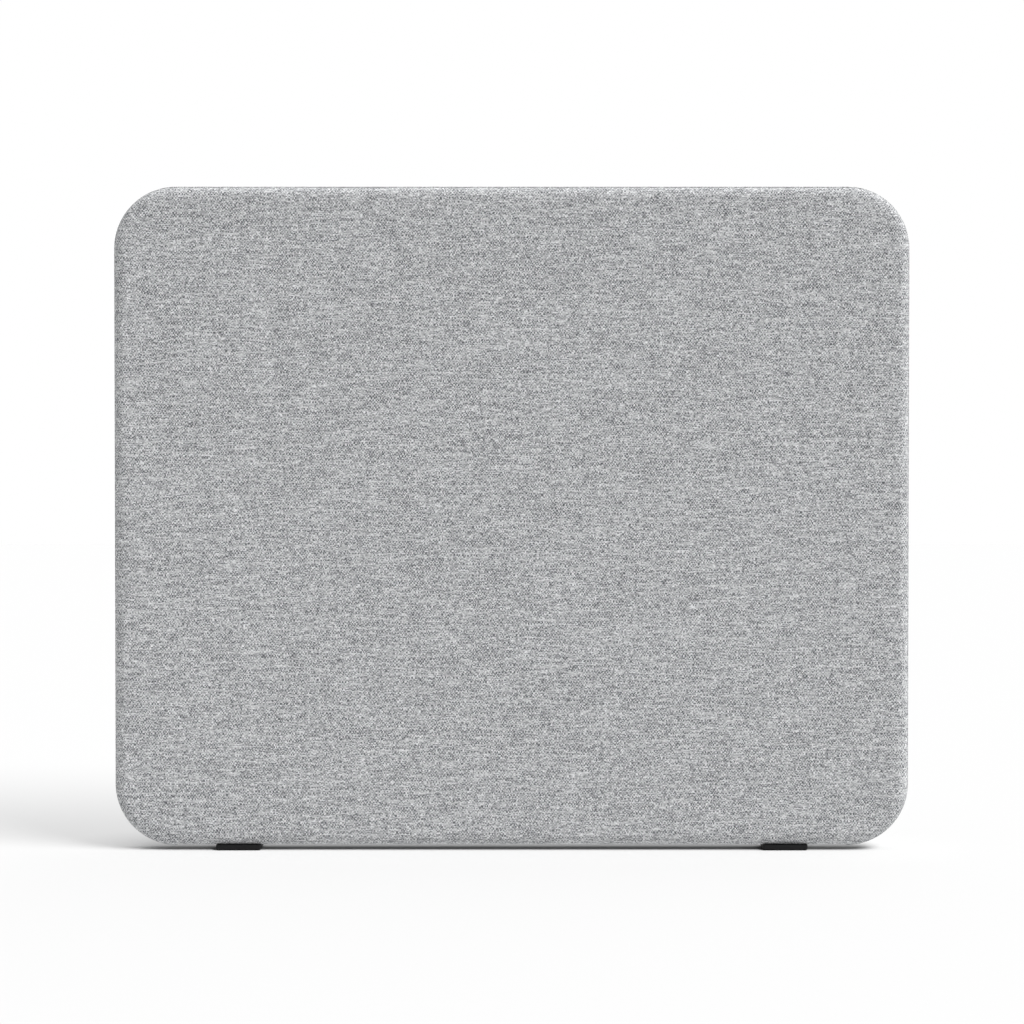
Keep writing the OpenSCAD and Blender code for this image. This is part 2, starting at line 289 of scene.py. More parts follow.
def noiseOf(vector, scale=1.0, detail=2.0, rough=0.5):
    node = newNode("TexNoise", vector)
    plugAll(node, {"Scale": scale, "Detail": detail, "Roughness": rough})
    return node.outputs["Fac"]


def dice(x, y):
    node = newNode("TexWhiteNoise", join(x, y))
    node.noise_dimensions = "2D"
    return node.outputs["Value"]


def blendColours(amount, first, second):
    node = newNode("Mix", amount)
    node.data_type = "RGBA"
    plug(first, node.inputs[6])
    plug(second, node.inputs[7])
    return node.outputs[2]


def spread(value, low, high, toLow=0.0, toHigh=1.0):
    return newNode("MapRange", value, low, high, toLow, toHigh).outputs[0]


def turned(vector, scale=(1, 1, 1), rotation=(0, 0, 0), shift=(0, 0, 0)):
    return newNode("Mapping", vector, shift, rotation, scale).outputs[0]


def coordinates(tree, kind):
    return tree.nodes.new("ShaderNodeTexCoord").outputs[kind]


def endGroup(leave, colour, roughness, height):
    plugAll(leave, {"colour": colour, "roughness": roughness, "height": height})
    return leave.id_data


def newMaterial(name, shaderValues):
    material = bpy.data.materials.new(name)
    material.use_nodes = True
    shader = material.node_tree.nodes["Principled BSDF"]
    plugAll(shader, shaderValues)
    return material, material.node_tree, shader


def dress(shader, colour, roughness, height, relief):
    bump = shader.id_data.nodes.new("ShaderNodeBump")
    plugAll(bump, {"Strength": 1.0, "Distance": relief, "Height": height})
    plugAll(shader, {"Base Color": colour, "Roughness": roughness, "Normal": bump.outputs[0]})


def makeMaterial(name, group, look, kind="Object", rotation=None, shift=(0, 0, 0)):
    material, tree, shader = newMaterial(name, look["shader"])
    vector = coordinates(tree, kind)
    if rotation:
        vector = turned(vector, rotation=rotation, shift=shift)
    node = tree.nodes.new("ShaderNodeGroup")
    node.node_tree = group
    plug(vector, node.inputs["vector"])
    for socket in node.inputs[1:]:
        socket.default_value = look[socket.name]
    dress(shader, *node.outputs[:3], look["relief"])
    return material


# Cloth: melange yarns in a rib weave, each end of warp over two picks of weft and under two
clothLook = dict(dark=(0.0845, 0.0885, 0.0955, 1), light=(0.805, 0.813, 0.820, 1), middle=0.36,
                 warpPitch=2.2 * mm, weftPitch=1.4 * mm, warpTone=0.30, warpMelange=0.1,
                 weftMelange=0.3, longMelange=0.55, speckle=0.58, paintedGapShade=0.17, streakThreads=2.6,
                 picks=2.0, unevenness=3.0, raggedness=1.0, fibres=0.9, cloud=0.09, relief=0.11 * mm,
                 shader={"Sheen Weight": 0.10, "Sheen Roughness": 0.5, "Specular IOR Level": 0.25})
# The same in every cloth: scales by the metre, and rates by the thread
weave = dict(
    otherPart=(3.1, 1.7),    # metres to another part of the cloth
    driftScale=110.0,
    cloudScale=22.0,
    warpRunRate=1.9,
    longRun=4.0,             # streaks' length beside that of the common ones
    raggedRates=(2.2, 8.0),  # along the other threads and across them
    fibreRates=(1.5, 9.0),   # along the thread and across it
    fibreSlant=1.3,
    fibreHeight=1.1,
    meanRound=0.64,          # mean of a thread's round height
    roughness=(0.82, 0.97),
)


def runOf(place, row):
    # A tone that changes slowly along one thread and starts afresh on the next
    start = calc("FLOOR", place)
    eased = spread(calc("FRACT", place), 0.0, 1.0)
    eased.node.interpolation_type = "SMOOTHSTEP"
    here = dice(start, row)
    there = dice(plus(start, 1.0), row)
    return minus(addShare(here, minus(there, here), eased), 0.5)


def makeClothGroup():
    enter, leave = newGroup("melangeWeave", clothLook)
    vector = enter["vector"]
    place = split(vector)
    drift = noiseOf(vector, weave["driftScale"], 1.0)
    otherDrift = noiseOf(turned(vector, shift=(*weave["otherPart"], 0)), weave["driftScale"], 1.0)
    across = addSwing(over(place[0], enter["warpPitch"]), drift, enter["unevenness"])
    along = addSwing(over(place[1], enter["weftPitch"]), otherDrift, enter["unevenness"])
    # Loose fibres make each thread's sides ragged
    slow, fast = weave["raggedRates"]
    ragged = noiseOf(join(times(across, slow), times(along, fast)), 1.0, 2.0, 0.7)
    otherRagged = noiseOf(join(times(across, fast), times(along, slow)), 1.0, 2.0, 0.7)
    across = addSwing(across, ragged, enter["raggedness"])
    along = addSwing(along, otherRagged, enter["raggedness"])
    warpNumber = calc("FLOOR", across)
    weftNumber = calc("FLOOR", along)
    pair = calc("FLOOR", over(along, enter["picks"]))
    parity = calc("FLOORED_MODULO", plus(warpNumber, pair), 2.0)
    warpOnTop = calc("LESS_THAN", parity, 0.5)
    weftOnTop = minus(1.0, warpOnTop)

    def ofTop(warpValue, weftValue):
        return plus(times(warpValue, warpOnTop), times(weftValue, weftOnTop))

    streak = enter["streakThreads"]
    weftTone = runOf(over(across, streak), weftNumber)
    longTone = runOf(over(across, times(streak, weave["longRun"])), plus(weftNumber, 0.5))
    warpTone = runOf(times(along, weave["warpRunRate"]), plus(warpNumber, 0.25))
    speck = minus(dice(plus(warpNumber, 0.75), weftNumber), 0.5)
    weftAll = addShare(times(longTone, enter["longMelange"]), weftTone, enter["weftMelange"])
    tone = ofTop(times(warpTone, enter["warpMelange"]), weftAll)
    tone = addSwing(tone, warpOnTop, enter["warpTone"])
    tone = addShare(tone, speck, enter["speckle"])
    # Fibres lie along the thread on top, slanted a little by its twist
    lengthways = ofTop(along, across)
    sideways = ofTop(across, along)
    lengthRate, sideRate = weave["fibreRates"]
    slanted = addShare(times(lengthways, lengthRate), sideways, weave["fibreSlant"])
    fibres = noiseOf(join(slanted, times(sideways, sideRate)), 1.0, 3.0, 0.65)
    tone = addSwing(tone, fibres, enter["fibres"])

    # Each thread's colour is darker towards its sides, painted shade in the gaps between threads; the
    # same rounding gives the bump
    warpRound = calc("SINE", times(calc("FRACT", across), math.pi))
    weftRound = calc("SINE", times(calc("FRACT", along), math.pi))
    threads = ofTop(warpRound, weftRound)
    tone = addShare(tone, minus(threads, weave["meanRound"]), enter["paintedGapShade"])
    tone = addSwing(tone, noiseOf(vector, weave["cloudScale"], 3.0, 0.6), enter["cloud"])
    tone = plus(tone, enter["middle"])
    colour = blendColours(tone, enter["dark"], enter["light"])
    roughness = spread(speck, -0.5, 0.5, *weave["roughness"])
    return endGroup(leave, colour, roughness, addShare(threads, fibres, weave["fibreHeight"]))


clothGroup = makeClothGroup()
# The piping's strip is the same cloth, painted a little darker as painted shade for the dark line along
# the edge's crease
pipingShadedLook = dict(clothLook, dark=(0.070, 0.0735, 0.079, 1), light=(0.662, 0.668, 0.674, 1))
tapeLook = dict(clothLook, dark=(0.13, 0.135, 0.145, 1), light=(0.33, 0.34, 0.36, 1), middle=0.45,
                warpPitch=0.5 * mm, weftPitch=0.42 * mm, warpTone=0.2, weftMelange=0.2, longMelange=0.1,
                speckle=0.2, unevenness=0.3, raggedness=0.3, fibres=0.3, relief=0.08 * mm)
threadLook = dict(tapeLook, dark=(0.30, 0.305, 0.315, 1), light=(0.50, 0.505, 0.515, 1),
                  warpPitch=0.22 * mm, weftPitch=0.3 * mm, unevenness=0.2, relief=0.04 * mm)
coverCloth = makeMaterial("coverCloth", clothGroup, clothLook, "UV")
pipingShadedCloth = makeMaterial("pipingShadedCloth", clothGroup, pipingShadedLook, "UV")
tapeWeave = makeMaterial("tapeWeave", clothGroup, tapeLook)
sewingThread = makeMaterial("sewingThread", clothGroup, threadLook)
print("cloth made")


# Matted fibres: felt, wadding, batts, cotton and hardboard
feltLook = dict(scale=420.0, dark=(0.17, 0.175, 0.18, 1), light=(0.34, 0.345, 0.355, 1),
                fleck=(0.75, 0.75, 0.74, 1), fleckShare=0.35, stretch=5.0, relief=0.5 * mm,
                shader={"Specular IOR Level": 0.2})
waddingLook = dict(feltLook, scale=260.0, dark=(0.58, 0.58, 0.56, 1), light=(0.86, 0.86, 0.84, 1),
                   fleck=(0.95, 0.95, 0.93, 1), fleckShare=0.5, stretch=7.0, relief=1.2 * mm)
battLook = dict(feltLook, scale=300.0, dark=(0.09, 0.095, 0.10, 1), light=(0.23, 0.235, 0.245, 1),
                fleck=(0.62, 0.63, 0.65, 1), fleckShare=0.4, stretch=8.0, relief=0.8 * mm)
cottonLook = dict(feltLook, scale=1500.0, dark=(0.62, 0.60, 0.54, 1), light=(0.86, 0.84, 0.78, 1),
                  fleck=(0.93, 0.92, 0.88, 1), fleckShare=0.2, stretch=6.0, relief=0.1 * mm)
hardboardLook = dict(feltLook, scale=700.0, dark=(0.13, 0.075, 0.04, 1), light=(0.27, 0.165, 0.09, 1),
                     fleck=(0.42, 0.29, 0.18, 1), fleckShare=0.3, stretch=4.0, relief=0.08 * mm,
                     shader={"Specular IOR Level": 0.4})
mat = dict(
    wanderScale=60.0,
    wander=0.02,             # metres that fibres stray sideways
    cloudScale=45.0,
    cloud=0.5,
    toneRange=(0.42, 0.72),
    fleckRange=(0.74, 0.78),
    roughness=(0.98, 0.86),
)


def makeFibreGroup():
    enter, leave = newGroup("mattedFibres", feltLook)
    vector = enter["vector"]
    place = split(vector)
    wander = times(noiseOf(vector, mat["wanderScale"], 1.0), mat["wander"])
    alongX = join(over(plus(place[0], wander), enter["stretch"]), place[1], place[2])
    alongZ = join(place[0], plus(place[1], wander), over(place[2], enter["stretch"]))
    first = noiseOf(alongX, enter["scale"], 3.0, 0.6)
    second = noiseOf(alongZ, enter["scale"], 3.0, 0.6)
    fibres = calc("MAXIMUM", first, second)
    cloud = noiseOf(vector, mat["cloudScale"], 3.0, 0.6)
    tone = addSwing(spread(fibres, *mat["toneRange"]), cloud, mat["cloud"])
    body = blendColours(tone, enter["dark"], enter["light"])
    fleckLow, fleckHigh = mat["fleckRange"]
    fleckLow = minus(fleckLow, times(enter["fleckShare"], 0.4))
    crossing = calc("MINIMUM", calc("MAXIMUM", first, cloud), second)
    colour = blendColours(spread(crossing, fleckLow, fleckHigh), body, enter["fleck"])
    return endGroup(leave, colour, spread(fibres, 0.3, 0.7, *mat["roughness"]), fibres)


fibreGroup = makeFibreGroup()
feltGrey = makeMaterial("feltGrey", fibreGroup, feltLook)
waddingWhite = makeMaterial("waddingWhite", fibreGroup, waddingLook)
battGrey = makeMaterial("battGrey", fibreGroup, battLook)
cottonCord = makeMaterial("cottonCord", fibreGroup, cottonLook)
hardboardBrown = makeMaterial("hardboardBrown", fibreGroup, hardboardLook)
print("fibre materials made")

# Sawn wood: growth rings across the board, fibres and pores along it
pineLook = dict(pale=(0.74, 0.52, 0.27, 1), deep=(0.47, 0.25, 0.08, 1), ringWidth=4.2 * mm,
                ringDepth=0.75, pores=0.15, relief=0.15 * mm, shader={"Specular IOR Level": 0.35})
beechLook = dict(pineLook, pale=(0.64, 0.40, 0.20, 1), deep=(0.40, 0.21, 0.08, 1), ringWidth=1.6 * mm,
                 ringDepth=0.25, pores=0.55)
timber = dict(
    warp=0.03,
    warpScale=14.0,
    lateWood=2.6,            # how sharply a ring darkens towards its end
    fibreScale=1500.0,
    poreScale=2300.0,
    poreRange=(0.66, 0.74),
    fibreTone=0.7,
    poreDepth=0.8,
    roughness=(0.62, 0.78),
)


def makeWoodGroup():
    enter, leave = newGroup("sawnWood", pineLook)
    place = split(enter["vector"])

    def drawnOut(share):
        return join(times(place[0], share), place[1], place[2])

    warp = noiseOf(drawnOut(0.12), timber["warpScale"], 2.0)
    warp = times(minus(warp, 0.5), timber["warp"])
    reach = calc("SQRT", plus(calc("POWER", place[1], 2.0), calc("POWER", place[2], 2.0)))
    rings = calc("FRACT", over(plus(reach, warp), enter["ringWidth"]))
    fibres = noiseOf(drawnOut(0.02), timber["fibreScale"], 2.0, 0.6)
    pores = spread(noiseOf(drawnOut(0.07), timber["poreScale"], 0.0), *timber["poreRange"])
    tone = times(calc("POWER", rings, timber["lateWood"]), enter["ringDepth"])
    tone = addSwing(tone, fibres, timber["fibreTone"])
    tone = addShare(tone, pores, enter["pores"])
    colour = blendColours(tone, enter["pale"], enter["deep"])
    roughness = spread(fibres, 0.3, 0.7, *timber["roughness"])
    return endGroup(leave, colour, roughness, minus(fibres, times(pores, timber["poreDepth"])))


woodGroup = makeWoodGroup()
alongBoard = (0, 0, 0)
upBoard = (0, rightAngle, 0)

# Birch plywood: turned veneers through the thickness, calm face grain
plywood = dict(
    veneer=1.7 * mm,
    grainScale=900.0,
    alongGrain=0.05,
    turnedTone=0.28,
    glueTone=0.5,
    pale=(0.72, 0.55, 0.34, 1),
    deep=(0.40, 0.25, 0.11, 1),
    relief=0.12 * mm,
)


def makePlywood():
    material, tree, shader = newMaterial("birchPlywood", {"Specular IOR Level": 0.35})
    vector = coordinates(tree, "Object")
    layer = over(split(vector)[1], plywood["veneer"])
    turnedLayer = calc("WRAP", calc("FLOOR", layer), 2.0, 0.0)
    edge = calc("ABSOLUTE", minus(calc("FRACT", layer), 0.5))
    drawn = plywood["alongGrain"]
    first = noiseOf(turned(vector, scale=(drawn, 1, 1)), plywood["grainScale"], 2.0, 0.6)
    second = noiseOf(turned(vector, scale=(1, 1, drawn)), plywood["grainScale"], 2.0, 0.6)
    grain = plus(times(first, turnedLayer), times(second, minus(1.0, turnedLayer)))
    tone = addShare(spread(grain, 0.3, 0.75, 0.0, 0.6), turnedLayer, plywood["turnedTone"])
    tone = addShare(tone, spread(edge, 0.44, 0.5), plywood["glueTone"])
    dress(shader, blendColours(tone, plywood["pale"], plywood["deep"]),
          spread(grain, 0.3, 0.7, 0.6, 0.75), grain, plywood["relief"])
    return material


birchPlywood = makePlywood()

# Moulded and coated surfaces: fine grain, slow patches, and a little dust or rubbing
footLook = dict(colour=(0.0055, 0.0055, 0.006, 1), rubbed=(0.014, 0.014, 0.015, 1), rubbedShare=0.2,
                grainScale=2400.0, smooth=0.5, dull=0.66, relief=0.05 * mm,
                shader={"Specular IOR Level": 0.16})
rubberLook = dict(colour=(0.003, 0.003, 0.0032, 1), rubbed=(0.012, 0.0115, 0.011, 1), rubbedShare=0.3,
                  grainScale=1500.0, smooth=0.8, dull=0.95, relief=0.08 * mm,
                  shader={"Specular IOR Level": 0.06})
teethLook = dict(colour=(0.17, 0.178, 0.19, 1), rubbed=(0.27, 0.275, 0.285, 1), rubbedShare=0.3,
                 grainScale=3200.0, smooth=0.32, dull=0.5, relief=0.02 * mm,
                 shader={"Specular IOR Level": 0.5})
enamelLook = dict(colour=(0.10, 0.105, 0.115, 1), rubbed=(0.42, 0.40, 0.36, 1), rubbedShare=0.18,
                  grainScale=1800.0, smooth=0.26, dull=0.42, relief=0.02 * mm,
                  shader={"Coat Weight": 0.4, "Coat Roughness": 0.2})
steelLook = dict(colour=(0.42, 0.43, 0.45, 1), rubbed=(0.56, 0.56, 0.55, 1), rubbedShare=0.4,
                 grainScale=1600.0, smooth=0.28, dull=0.46, relief=0.02 * mm,
                 shader={"Metallic": 1.0})
brassLook = dict(steelLook, colour=(0.60, 0.42, 0.13, 1), rubbed=(0.38, 0.25, 0.08, 1),
                 smooth=0.25, dull=0.42)
skin = dict(
    patchScale=90.0,
    scuffScale=600.0,
    patchShare=0.35,
    scuffShare=0.75,
    grainTone=0.35,
    rubbedRange=(0.82, 0.86),
    patchDull=0.8,
)


def makeMouldedGroup():
    enter, leave = newGroup("mouldedSkin", footLook)
    vector = enter["vector"]
    grain = noiseOf(vector, enter["grainScale"], 2.0, 0.55)
    patch = noiseOf(vector, skin["patchScale"], 3.0, 0.6)
    scuffPlace = turned(vector, scale=(0.25, 1, 1), rotation=(0, 0.3, 0.4))
    scuff = noiseOf(scuffPlace, skin["scuffScale"], 3.0, 0.7)
    rubbedLow, rubbedHigh = skin["rubbedRange"]
    rubbedLow = minus(rubbedLow, times(enter["rubbedShare"], 0.5))
    wear = addShare(times(scuff, skin["scuffShare"]), patch, skin["patchShare"])
    rubbed = spread(wear, rubbedLow, rubbedHigh)
    tone = addSwing(rubbed, grain, skin["grainTone"])
    rough = addSwing(grain, patch, skin["patchDull"])
    roughness = spread(rough, 0.2, 0.8, enter["smooth"], enter["dull"])
    return endGroup(leave, blendColours(tone, enter["colour"], enter["rubbed"]), roughness, grain)


mouldedGroup = makeMouldedGroup()
footPlastic = makeMaterial("footPlastic", mouldedGroup, footLook)
padRubber = makeMaterial("padRubber", mouldedGroup, rubberLook)
teethPlastic = makeMaterial("teethPlastic", mouldedGroup, teethLook)
sliderEnamel = makeMaterial("sliderEnamel", mouldedGroup, enamelLook)
zincSteel = makeMaterial("zincSteel", mouldedGroup, steelLook)
turnedBrass = makeMaterial("turnedBrass", mouldedGroup, brassLook)
print("wood, plastic and metal made")

# Cover: two sewn halves drawn over the felts, each rolled round the edge to the seam
cover = dict(
    cornerRadius=90 * mm,
    rollWide=16 * mm,        # how far the edge's soft roll reaches onto the face
    rollDeep=10 * mm,
    rollFlatness=1.14,       # 1 is a true ellipse, more is flatter across its middle
    cloth=1.2 * mm,
    seamHalf=0.5 * mm,
    cornerSegments=28,
    rollSegments=10,
    gridStep=15 * mm,
    slotHalfLength=374 * mm,
    slotHalfWidth=7.2 * mm,
    seamValley=0.5 * mm,     # how far the sewn edges turn in along the bottom
    lengthSteps=32,
)
bandHalf = -panelLow.y - cover["rollDeep"]      # flat band between the roll and the seam
acrossHalf = panelWidth / 2 - cover["cornerRadius"]
upHalf = panelHeight / 2 - cover["cornerRadius"]


def layOut(piece, flat):
    # One layer holds where each point lies on the flat cloth
    layers = piece.data.uv_layers
    while len(layers) > 1:
        layers.remove(layers[-1])
    layer = layers[0] if layers else layers.new(name="cut")
    for loop in piece.data.loops:
        layer.data[loop.index].uv = flat[loop.vertex_index]


def rollPoint(wide, deep, angle):
    # How far a point of the roll lies out and forward from the roll's centre
    flatness = cover["rollFlatness"]
    return wide * max(0, math.cos(angle)) ** flatness, deep * max(0, math.sin(angle)) ** flatness


def rollAngle(outShare, forwardShare):
    flatness = cover["rollFlatness"]
    return math.atan2(max(0, forwardShare) ** (1 / flatness), max(0, outShare) ** (1 / flatness))


def angleAtDepth(deep, depth):
    return math.asin(((depth - bandHalf) / deep) ** (1 / cover["rollFlatness"]))


def arcProfile(wide, deep, fromAngle, toAngle, count):
    # Insets from the outline and depths towards the front, round the cover's roll centre
    points = []
    for number in range(count + 1):
        out, forward = rollPoint(wide, deep, fromAngle + (toAngle - fromAngle) * number / count)
        points.append((cover["rollWide"] - out, bandHalf + forward))
    return points


def arcLength(fromAngle):
    # Length of the cover's roll from an angle up to the face
    steps = cover["lengthSteps"]
    step = (rightAngle - fromAngle) / steps
    points = [rollPoint(cover["rollWide"], cover["rollDeep"], fromAngle + step * number)
              for number in range(steps + 1)]
    return sum(math.dist(first, second) for first, second in zip(points, points[1:]))


def makeRoundedPanel(name, profile, closed):
    inset, depth = profile[0]
    place = ((panelLow.x + panelHigh.x) / 2, -depth, panelMiddle)
    piece = addPlane(name, place, panelWidth - 2 * inset, panelHeight - 2 * inset)
    startEdit(piece, "VERT")
    roundCorners(cover["cornerRadius"] - inset, cover["cornerSegments"])
    selectAll("FACE")
    for nextInset, nextDepth in profile[1:]:
        if abs(nextInset - inset) < 1e-9:
            extrudeBy(0, depth - nextDepth, 0)
        else:
            bpy.ops.mesh.inset(thickness=nextInset - inset, depth=nextDepth - depth)
        inset, depth = nextInset, nextDepth
    removePicked(piece, "FACE", lambda face: face.normal.y > 0.5)
    if closed:
        fillOpenEnds()
        faceOutwards()
    endEdit()
    return piece


def unroll(point):
    # Where a point of the cover lies when it is cut: the roll and the band carry on from the face
    wide, radius = cover["rollWide"], cover["cornerRadius"]
    x, depth, z = point.x, abs(point.y), point.z - panelMiddle
    beyondX = abs(x) - acrossHalf
    beyondZ = abs(z) - upHalf
    if beyondX > 0 and beyondZ > 0:
        reach = math.hypot(beyondX, beyondZ)
        inset = radius - reach
        out = (math.copysign(beyondX / reach, x), math.copysign(beyondZ / reach, z))
    elif beyondX > beyondZ:
        inset = radius - beyondX
        out = (math.copysign(1, x), 0)
    else:
        inset = radius - beyondZ
        out = (0, math.copysign(1, z))
    push = 0
    if inset < wide and depth > bandHalf:
        push = arcLength(rollAngle((wide - inset) / wide, (depth - bandHalf) / cover["rollDeep"]))
        push -= wide - inset
    elif inset < wide:
        push = arcLength(0) + bandHalf - depth - (wide - inset)
    return x + out[0] * push, z + out[1] * push


def makeCoverHalf(name, node, otherPart=(0, 0)):
    profile = arcProfile(cover["rollWide"], cover["rollDeep"], 0, rightAngle, cover["rollSegments"])
    piece = makeRoundedPanel(name, [(0, cover["seamHalf"])] + profile, False)
    startEdit(piece)
    cutGrid(cover["gridStep"])
    cutAll((0, -cover["slotHalfWidth"], 0), (0, 1, 0))
    for side in (-1, 1):
        cutAll((side * cover["slotHalfLength"], 0, 0), (1, 0, 0))
    bottom = panelLow.z + cover["cloth"]

    def inSlot(face):
        middle = face.calc_center_median()
        return (middle.z < bottom and -middle.y < cover["slotHalfWidth"]
                and abs(middle.x) < cover["slotHalfLength"])

    removePicked(piece, "FACE", inSlot)
    endEdit()
    # Along the bottom there is no piping: the two edges meet in a plain sewn seam
    seamEdge = cover["seamHalf"] + 0.01 * mm
    for vertex in piece.data.vertices:
        place = vertex.co
        if abs(place.x) < acrossHalf - mm and place.z < bottom and -place.y < seamEdge:
            place.y = 0
            place.z += cover["seamValley"]
    flat = [unroll(vertex.co) for vertex in piece.data.vertices]
    layOut(piece, [(x + otherPart[0], z + otherPart[1]) for x, z in flat])
    finishWith(piece, "SOLIDIFY", thickness=cover["cloth"], offset=-1, use_even_offset=True)
    if node == "rear_cover":
        turnRound(piece)
    finishPiece(piece, 35, coverCloth, node)


makeCoverHalf("coverFront", "front_cover")
makeCoverHalf("coverRear", "rear_cover", weave["otherPart"])
print("cover made")


# Edge pieces: a section is drawn across the panel's bottom edge and carried round the outline
def drawSection(name, points, x):
    # A section's points are insets, measured into the panel, and depths towards the front
    piece = addPlane(name, (0, 0, 0), mm, mm, 0)
    startEdit(piece, "VERT")
    bpy.ops.mesh.merge(type="CENTER")
    places = [Vector((x, -depth, panelLow.z + inset)) for inset, depth in points]
    bpy.ops.transform.translate(value=places[0])
    for before, after in zip(places, places[1:]):
        bpy.ops.mesh.extrude_vertices_move(TRANSFORM_OT_translate={"value": after - before})
    selectAll()
    bpy.ops.mesh.edge_face_add()
    return piece


def carryRound(segments, fromMiddle):
    # Anticlockwise, seen from the front, from the bottom edge back to the bottom edge
    top = panelHigh.z - cover["cornerRadius"]
    bottom = panelLow.z + cover["cornerRadius"]
    corners = ((acrossHalf, bottom), (acrossHalf, top), (-acrossHalf, top), (-acrossHalf, bottom))
    runs = ((0, 0, top - bottom), (-2 * acrossHalf, 0, 0), (0, 0, bottom - top), (0, 0, 0))
    if fromMiddle:
        extrudeBy(acrossHalf, 0, 0)
    for corner, run in zip(corners, runs):
        centre = (corner[0], 0, corner[1])
        bpy.ops.mesh.spin(steps=segments, angle=rightAngle, center=centre, axis=(0, 1, 0))
        if any(run):
            extrudeBy(*run)
    if fromMiddle:
        extrudeBy(acrossHalf, 0, 0)


def outlinePlace(point):
    # Distance along the outline from the right side's foot, and distance outside the outline
    x, z = point.x, point.z - panelMiddle
    radius = cover["cornerRadius"]
    quarter = radius * rightAngle
    if abs(z) <= upHalf:
        run = z + upHalf if x > 0 else 3 * upHalf + 2 * quarter + 2 * acrossHalf - z
        return run, abs(x) - acrossHalf - radius
    if abs(x) <= acrossHalf:
        run = 2 * upHalf + quarter + acrossHalf - x if z > 0 else x - acrossHalf - quarter
        return run, abs(z) - upHalf - radius
    beyondX, beyondZ = abs(x) - acrossHalf, abs(z) - upHalf
    bend = radius * math.atan2(beyondZ, beyondX)
    if x > 0:
        run = 2 * upHalf + bend if z > 0 else -bend
    else:
        run = 2 * upHalf + 2 * acrossHalf + 2 * quarter
        run += -bend if z > 0 else 2 * upHalf + bend
    return run, math.hypot(beyondX, beyondZ) - radius


# Piping: a bias strip of the same cloth folded round a cord, its two edges sewn in as a flange
piping = dict(
    radius=2.0 * mm,
    cordRadius=1.1 * mm,
    centreOut=1.3 * mm,
    flangeHalf=0.48 * mm,
    flangeSlit=0.02 * mm,
    flangeEnd=4.0 * mm,
    innerTurn=179,           # degrees each way, which leaves the slit between the two edges
    outerPoints=22,
    innerPoints=14,
    longStep=15 * mm,
    pucker=0.12 * mm,
    puckerLength=9 * mm,
    puckerFrom=0.2 * mm,     # only what stands outside the seam is puckered
)


def ringPoints(radius, turn, count):
    # Angles count from straight out of the panel towards the front
    points = []
    for number in range(count + 1):
        angle = math.radians(2 * turn * number / count - turn)
        points.append((-piping["centreOut"] - radius * math.cos(angle), radius * math.sin(angle)))
    return points


def makePiping():
    outerTurn = 180 - math.degrees(math.asin(piping["flangeHalf"] / piping["radius"]))
    end, half, slit = piping["flangeEnd"], piping["flangeHalf"], piping["flangeSlit"]
    section = [(end, -half)]
    section += ringPoints(piping["radius"], outerTurn, piping["outerPoints"])
    section += [(end, half), (end, slit)]
    section += ringPoints(piping["cordRadius"], -piping["innerTurn"], piping["innerPoints"])
    section += [(end, -slit)]
    piece = drawSection("pipingEdge", section, acrossHalf)
    carryRound(cover["cornerSegments"], False)
    cutGrid(piping["longStep"])
    faceOutwards()
    endEdit()
    flat = []
    for vertex in piece.data.vertices:
        along, out = outlinePlace(vertex.co)
        turn = math.atan2(-vertex.co.y, out - piping["centreOut"])
        across = turn * piping["radius"]
        flat.append(((along + across) * math.sqrt(0.5), (along - across) * math.sqrt(0.5)))
        # Slight puckers where the strip is drawn round the cord
        wave = noise.noise(Vector((along / piping["puckerLength"], turn, 2.0)))
        if out > piping["puckerFrom"]:
            vertex.co.y *= 1 - abs(wave) * piping["pucker"] / piping["radius"]
    layOut(piece, flat)
    finishPiece(piece, 40, pipingShadedCloth, "edge_piping")


makePiping()
print("piping made")

# Cord inside the piping: three strands laid together
cord = dict(
    strandOut=0.5 * mm,
    strandRadius=0.58 * mm,
    strandSwell=(0.55, 0.45),
    turnLength=8 * mm,
    ringsEachTurn=7,
    pathSegments=40,
    weld=0.01 * mm,
)


def makeCordPath():
    # The path along which the straight cord is bent, open along the bottom
    out = piping["centreOut"]
    path = addPlane("cordPath", (0, 0, panelMiddle), panelWidth + 2 * out, panelHeight + 2 * out)
    startEdit(path, "VERT")
    roundCorners(cover["cornerRadius"] + out, cord["pathSegments"])
    selectAll()
    bpy.ops.mesh.delete(type="ONLY_FACE")

    def atFoot(edge):
        middle = (edge.verts[0].co + edge.verts[1].co) / 2
        return middle.z < panelLow.z + mm and abs(middle.x) < mm

    removePicked(path, "EDGE", atFoot)
    endEdit()
    places = [vertex.co.copy() for vertex in path.data.vertices]
    length = sum((places[edge.vertices[0]] - places[edge.vertices[1]]).length for edge in path.data.edges)
    useOnly(path)
    bpy.ops.object.convert(target="CURVE")
    return bpy.context.object, length


